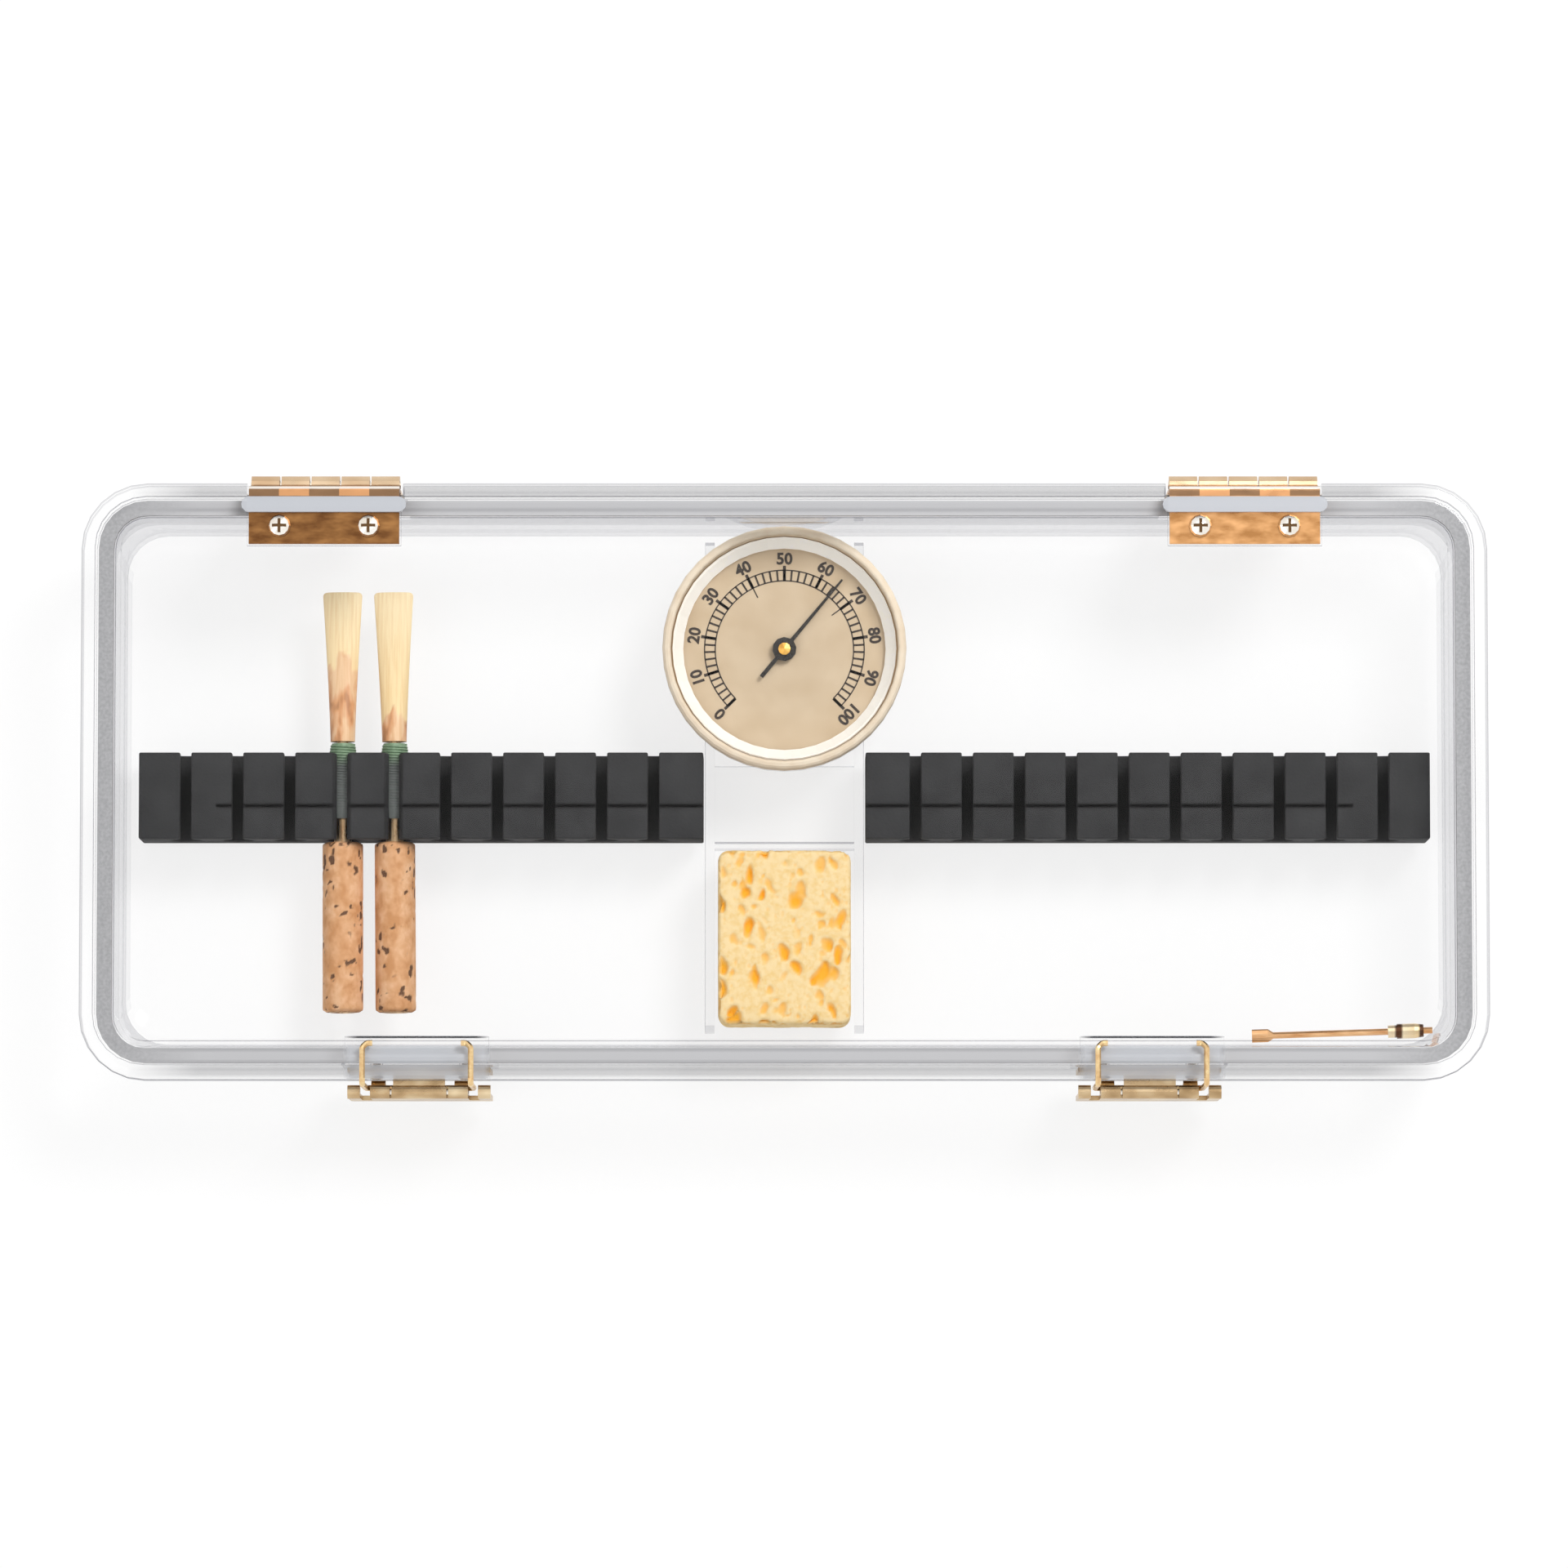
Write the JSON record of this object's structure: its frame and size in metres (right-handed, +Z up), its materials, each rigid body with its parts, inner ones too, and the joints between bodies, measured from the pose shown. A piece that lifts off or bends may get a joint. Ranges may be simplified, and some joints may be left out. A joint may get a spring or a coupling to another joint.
{
  "type": "oboe reed case",
  "caption": "Clear hinged case with slotted foam holders for oboe reeds, a round hygrometer, a damp sponge and wire toggle latches.",
  "frame": {"origin": "centre of the tray's flat bottom face, where the case rests", "axes": "+X along the case to the right, +Y to the hinges at the back, +Z up through the closed lid"},
  "size_m": [0.236, 0.1046, 0.0295],
  "materials": {
    "clear_polycarbonate": "clear, glossy, moulded",
    "clear_acrylic": "clear, polished sheet",
    "clear_lens": "clear, slightly domed",
    "grey_silicone": "smooth, matt",
    "charcoal_foam": "fine closed-cell foam",
    "cellulose_sponge": "open pores, damp",
    "brass": "stamped and lightly worn",
    "bright_brass": "turned, bright",
    "cane": "scraped, satin",
    "green_thread": "tight winding",
    "cork": "ground cork",
    "dial_enamel": "satin cream",
    "white_ring": "satin",
    "black_lacquer": "satin"
  },
  "bodies": {
    "base": {"base_tray": "clear_polycarbonate", "centre_carrier": "clear_acrylic", "hinge_left_base_leaf": "brass", "hinge_left_base_screw_1": "bright_brass", "hinge_left_base_screw_2": "bright_brass", "hinge_left_pin": "brass", "hinge_right_base_leaf": "brass", "hinge_right_base_screw_1": "bright_brass", "hinge_right_base_screw_2": "bright_brass", "hinge_right_pin": "brass", "humidifier_sponge": "cellulose_sponge", "hygrometer_bezel": "bright_brass", "hygrometer_bridge": "bright_brass", "hygrometer_case": "brass", "hygrometer_coil": "brass", "hygrometer_dial": "dial_enamel", "hygrometer_lens": "clear_lens", "hygrometer_rehaut": "white_ring", "latch_left_pin": "brass", "latch_left_plate": "brass", "latch_left_rivet_1": "brass", "latch_left_rivet_2": "brass", "latch_right_pin": "brass", "latch_right_plate": "brass", "latch_right_rivet_1": "brass", "latch_right_rivet_2": "brass", "reed_1_cane": "cane", "reed_1_cork": "cork", "reed_1_staple": "bright_brass", "reed_1_thread": "green_thread", "reed_2_cane": "cane", "reed_2_cork": "cork", "reed_2_staple": "bright_brass", "reed_2_thread": "green_thread", "reed_holder_left": "charcoal_foam", "reed_holder_right": "charcoal_foam", "setting_key_grip": "brass", "setting_key_shaft": "bright_brass"},
    "lid": {"lid_shell": "clear_polycarbonate", "gasket": "grey_silicone", "hinge_left_lid_leaf": "brass", "hinge_left_lid_screw_1": "bright_brass", "hinge_left_lid_screw_2": "bright_brass", "hinge_right_lid_leaf": "brass", "hinge_right_lid_screw_1": "bright_brass", "hinge_right_lid_screw_2": "bright_brass"},
    "lever_left": {"latch_left_lever": "brass"},
    "lever_right": {"latch_right_lever": "brass"},
    "bail_left": {"latch_left_bail": "brass"},
    "bail_right": {"latch_right_bail": "brass"},
    "needle": {"hygrometer_needle": "black_lacquer", "hygrometer_arbor": "bright_brass"}
  },
  "joints": [
    {"name": "lid_hinge", "type": "hinge", "parent": "base", "child": "lid", "pos_m": [0, 0.04995, 0.022], "axis": [-1, 0, 0], "range_deg": [0, 150]},
    {"name": "latch_left_lever_hinge", "type": "hinge", "parent": "base", "child": "lever_left", "pos_m": [-0.0613, -0.05185, 0.0175], "axis": [-1, 0, 0], "range_deg": [0, 84]},
    {"name": "latch_left_bail_hinge", "type": "hinge", "parent": "lever_left", "child": "bail_left", "pos_m": [-0.0613, -0.051, 0.013], "axis": [1, 0, 0], "range_deg": [0, 142.8]},
    {"name": "latch_right_lever_hinge", "type": "hinge", "parent": "base", "child": "lever_right", "pos_m": [0.0613, -0.05185, 0.0175], "axis": [-1, 0, 0], "range_deg": [0, 84]},
    {"name": "latch_right_bail_hinge", "type": "hinge", "parent": "lever_right", "child": "bail_right", "pos_m": [0.0613, -0.051, 0.013], "axis": [1, 0, 0], "range_deg": [0, 142.8]},
    {"name": "needle_turn", "type": "hinge", "parent": "base", "child": "needle", "pos_m": [0, 0.0232, 0.0125], "axis": [0, 0, 1], "range_deg": [-95.3, 174.7]}
  ],
  "couplings": [
    {"joint": "latch_left_bail_hinge", "follows": "latch_left_lever_hinge", "ratio": 1.7},
    {"joint": "latch_right_bail_hinge", "follows": "latch_right_lever_hinge", "ratio": 1.7}
  ]
}
